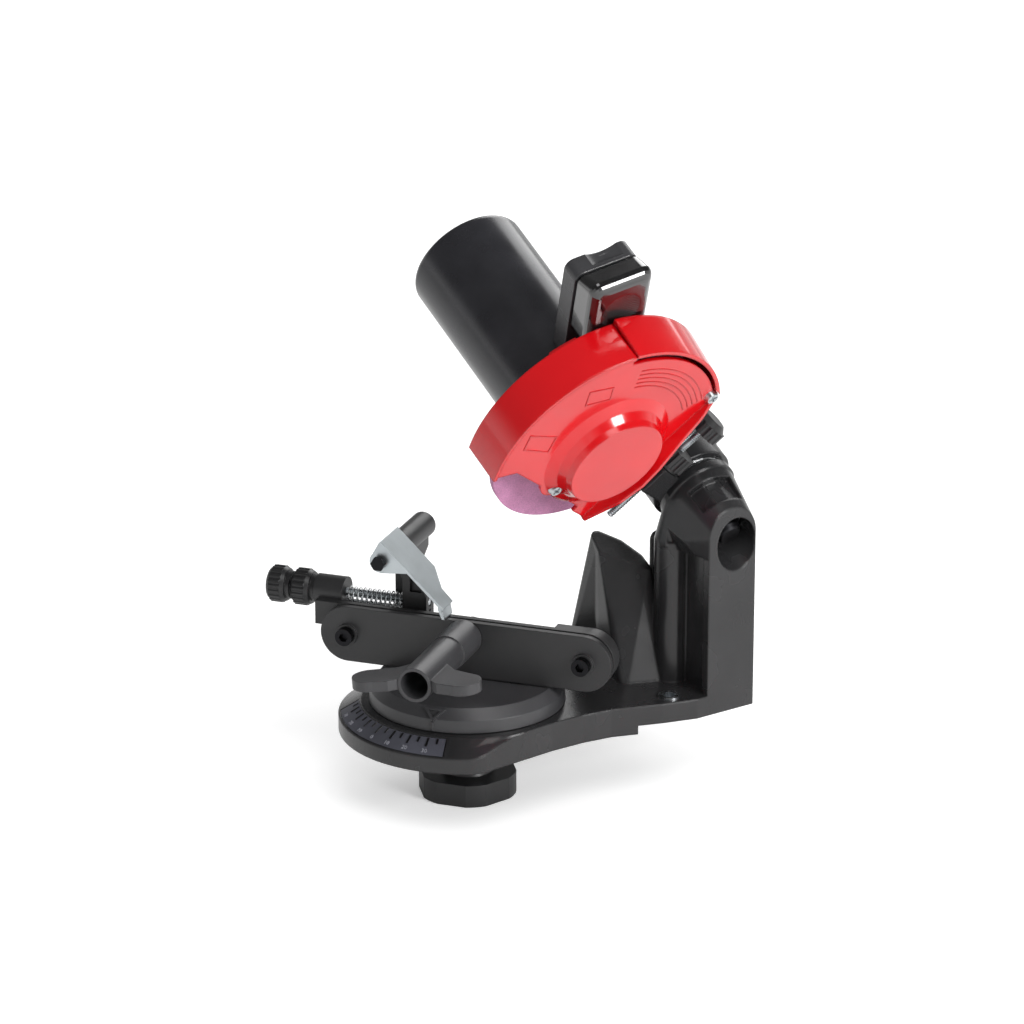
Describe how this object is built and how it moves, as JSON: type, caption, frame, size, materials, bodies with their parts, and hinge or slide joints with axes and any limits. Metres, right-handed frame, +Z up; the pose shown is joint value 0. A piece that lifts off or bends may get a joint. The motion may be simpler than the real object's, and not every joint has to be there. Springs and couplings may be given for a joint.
{
  "type": "saw chain sharpener",
  "caption": "Bench sharpener for saw chains: tilting motor head with a thin grinding wheel over a swivelling two-rail vise with chain stop.",
  "frame": {"origin": "on the bench, midway between the two bench screws", "axes": "+Z up from the bench, +X to the right along the two bench screws, +Y from the bench's front edge towards the column"},
  "size_m": [0.2105, 0.2074, 0.2863],
  "materials": {
    "black_casting": "satin black glass-filled nylon moulding",
    "black_part": "satin black moulding",
    "motor_black": "gloss black paint on a drawn steel tube",
    "guard_red": "gloss red moulding",
    "scale_black": "grey-black moulded scale",
    "bright_steel": "zinc-plated steel",
    "black_steel": "blackened steel",
    "zinc_sheet": "blue zinc-plated sheet steel",
    "brass_part": "plain brass",
    "copper_part": "enamelled copper windings on laminated steel",
    "magnet_grey": "sintered ferrite",
    "wheel_pink": "pink vitrified abrasive",
    "gloss_black": "polished black moulding, ribbed in its dish",
    "fan_plastic": "natural nylon",
    "brush_plastic": "brown phenolic moulding"
  },
  "bodies": {
    "base": {"base_frame": "black_casting", "angle_scale": "scale_black", "bench_bushes": "bright_steel", "hinge_bolt": "black_steel", "hinge_washer": "bright_steel", "hinge_nut": "bright_steel", "head_spring": "bright_steel"},
    "vise": {"turntable": "black_casting", "pivot_stud": "bright_steel", "stud_washer": "bright_steel", "vise_saddle": "black_part", "rear_rail": "black_casting", "rail_screws": "black_steel", "rail_springs": "bright_steel", "clamp_stud": "bright_steel", "stop_housing": "black_casting", "guide_rod": "bright_steel", "stop_spring": "bright_steel"},
    "clamp_knob": {"lock_knob": "black_part", "knob_insert": "brass_part"},
    "front_jaw": {"front_rail": "black_casting"},
    "wing_screw": {"wing_screw": "black_casting"},
    "stop_adjuster": {"stop_screw": "bright_steel", "stop_knob": "black_part"},
    "stop_lock": {"stop_lock_knob": "black_part"},
    "stop_carriage": {"stop_carriage": "black_casting", "pawl_pin": "black_steel"},
    "pawl": {"pawl": "zinc_sheet"},
    "head": {"head_arm": "black_casting", "arm_bush": "brass_part", "motor_housing": "motor_black", "magnets": "magnet_grey", "brush_gear": "brush_plastic", "front_bearing": "bright_steel", "rear_bearing": "bright_steel", "wheel_guard": "guard_red", "guard_cover": "guard_red", "guard_screws": "bright_steel", "handle_back": "black_part", "handle_front": "black_part", "handle_screws": "bright_steel", "switch_body": "black_part", "paddle_spring": "bright_steel", "cord_gland": "black_part"},
    "rotor": {"spindle_shaft": "bright_steel", "armature": "copper_part", "commutator": "copper_part", "fan": "fan_plastic", "inner_flange": "bright_steel", "outer_flange": "bright_steel", "wheel_nut": "bright_steel", "grinding_wheel": "wheel_pink"},
    "depth_screw": {"depth_screw": "bright_steel"},
    "depth_knob": {"depth_knob": "black_part"},
    "depth_lock": {"depth_lock_knob": "black_part"},
    "switch_paddle": {"switch_paddle": "gloss_black"}
  },
  "joints": [
    {"name": "head_tilt", "type": "hinge", "parent": "base", "child": "head", "pos_m": [0.02503, 0.0305, 0.1045], "axis": [0.866, 0, -0.5], "range_deg": [0, 38], "stiffness_Nm_per_rad": 2, "springref_deg": -57.3, "deforming": ["head_spring"]},
    {"name": "wheel_spin", "type": "hinge", "parent": "head", "child": "rotor", "pos_m": [0.06235, -0.05569, 0.15714], "axis": [0.866, 0, -0.5], "continuous": true},
    {"name": "turntable_swivel", "type": "hinge", "parent": "base", "child": "vise", "pos_m": [-0.004, -0.0795, 0.01], "axis": [0, 0, 1], "range_deg": [-65, 5]},
    {"name": "clamp_knob_turn", "type": "hinge", "parent": "vise", "child": "clamp_knob", "pos_m": [-0.004, -0.0795, -0.031], "axis": [0, 0, 1], "range_deg": [0, 180]},
    {"name": "jaw_clamp", "type": "slide", "parent": "vise", "child": "front_jaw", "axis": [-0.5736, 0.8192, 0], "range_m": [0, 0.0007]},
    {"name": "wing_screw_turn", "type": "hinge", "parent": "front_jaw", "child": "wing_screw", "pos_m": [0.01894, -0.11227, 0.0421], "axis": [-0.5736, 0.8192, 0], "range_deg": [0, 201.6]},
    {"name": "stop_adjust_turn", "type": "hinge", "parent": "vise", "child": "stop_adjuster", "pos_m": [-0.08633, -0.11883, 0.05], "axis": [0.8192, 0.5736, 0], "range_deg": [-1080, 1080]},
    {"name": "stop_carriage_slide", "type": "slide", "parent": "vise", "child": "stop_carriage", "axis": [0.8192, 0.5736, 0], "range_m": [-0.003, 0.003], "deforming": ["stop_spring"]},
    {"name": "stop_lock_turn", "type": "hinge", "parent": "vise", "child": "stop_lock", "pos_m": [-0.08633, -0.11883, 0.05], "axis": [0.8192, 0.5736, 0], "range_deg": [0, 90]},
    {"name": "pawl_flip", "type": "hinge", "parent": "stop_carriage", "child": "pawl", "pos_m": [-0.04209, -0.09763, 0.0753], "axis": [0.5736, -0.8192, 0], "range_deg": [0, 42]},
    {"name": "depth_screw_slide", "type": "slide", "parent": "head", "child": "depth_screw", "axis": [-0.4009, -0.5976, -0.6944], "range_m": [-0.006, 0.002]},
    {"name": "depth_knob_turn", "type": "hinge", "parent": "depth_screw", "child": "depth_knob", "pos_m": [0.04571, 0.02278, 0.13953], "axis": [-0.4009, -0.5976, -0.6944], "range_deg": [-2160, 720]},
    {"name": "depth_lock_turn", "type": "hinge", "parent": "head", "child": "depth_lock", "pos_m": [0.0373, 0.01023, 0.12495], "axis": [-0.4009, -0.5976, -0.6944], "range_deg": [0, 120]},
    {"name": "switch_press", "type": "slide", "parent": "head", "child": "switch_paddle", "axis": [-0.866, 0, 0.5], "range_m": [0, 0.001], "stiffness_N_per_m": 1200, "springref_m": -0.0015, "deforming": ["paddle_spring"]}
  ],
  "couplings": [
    {"joint": "jaw_clamp", "follows": "wing_screw_turn", "m_per_rad": 0.00019894},
    {"joint": "stop_adjust_turn", "follows": "stop_carriage_slide", "rad_per_m": 6283.2},
    {"joint": "depth_screw_slide", "follows": "depth_knob_turn", "m_per_rad": 0.00015915}
  ]
}
